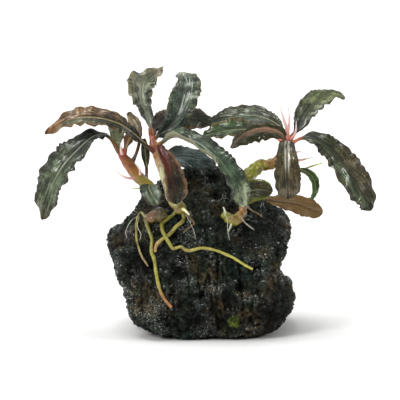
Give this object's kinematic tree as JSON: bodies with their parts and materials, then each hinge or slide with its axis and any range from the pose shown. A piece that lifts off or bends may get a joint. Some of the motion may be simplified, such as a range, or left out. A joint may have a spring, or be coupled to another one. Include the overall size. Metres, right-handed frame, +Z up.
{
  "type": "aquarium plant on stone",
  "caption": "Clumps of small water plant with wavy-edged leaves, creeping stems, pink sheaths and roots, grown on a lump of black lava stone.",
  "frame": {"origin": "on the stone's flat foot, under the middle of the stone's width", "axes": "+Z up, -Y towards the front, where the roots run down the stone, +X to the right in front view"},
  "size_m": [0.0728, 0.0375, 0.0587],
  "materials": {
    "stone": "black porous lava, wet",
    "stem": "fleshy yellow-olive stem with red parts, wet",
    "leaf_grey_green": "waxy grey-green leaf, satin sheen",
    "leaf_teal": "waxy blue-green leaf, satin sheen",
    "leaf_olive_brown": "waxy olive-brown leaf, glossy",
    "leaf_maroon": "maroon-brown leaf, satin sheen",
    "leaf_dark": "near-black green leaf, glossy",
    "leaf_young_green": "fresh green young leaf, glossy",
    "sheath": "thin pink sheath, slightly translucent",
    "root": "yellow-green living root with tan ends"
  },
  "bodies": {
    "root": {"stone": "stone", "stem_left": "stem", "stem_left_side_shoot": "stem", "stem_left_stub": "stem", "stem_right": "stem", "leaf_left_long": "leaf_grey_green", "leaf_left_raised": "leaf_olive_brown", "leaf_left_upright": "leaf_grey_green", "leaf_left_broad": "leaf_grey_green", "leaf_left_dark_back": "leaf_dark", "leaf_left_arching": "leaf_teal", "leaf_left_hanging": "leaf_maroon", "leaf_left_on_stone": "leaf_teal", "leaf_left_glossy_back": "leaf_dark", "leaf_left_young_green": "leaf_young_green", "leaf_left_hidden_brown": "leaf_maroon", "leaf_left_young_red": "leaf_maroon", "leaf_left_narrow_back": "leaf_dark", "leaf_right_back": "leaf_teal", "leaf_right_curly": "leaf_young_green", "leaf_right_front": "leaf_maroon", "leaf_right_upright": "leaf_grey_green", "leaf_right_long": "leaf_grey_green", "leaf_right_hanging": "leaf_olive_brown", "leaf_right_low": "leaf_maroon", "leaf_right_small_curl": "leaf_young_green", "leaf_right_round": "leaf_olive_brown", "sheath_right_top_long": "sheath", "sheath_right_top_short": "sheath", "sheath_right_brown": "sheath", "sheath_right_side": "sheath", "sheath_right_side_short": "sheath", "sheath_left_low": "sheath", "sheath_left_inner": "sheath", "sheath_left_top": "sheath", "root_left_outer": "root", "root_left_down": "root", "root_long_across": "root", "root_crossing": "root", "root_brown_short": "root", "root_right_down": "root", "root_right_tan": "root", "root_right_grey": "root", "root_stub_left": "root", "root_stub_right": "root", "root_tip_left": "root", "root_free_right": "root"}
  },
  "joints": []
}
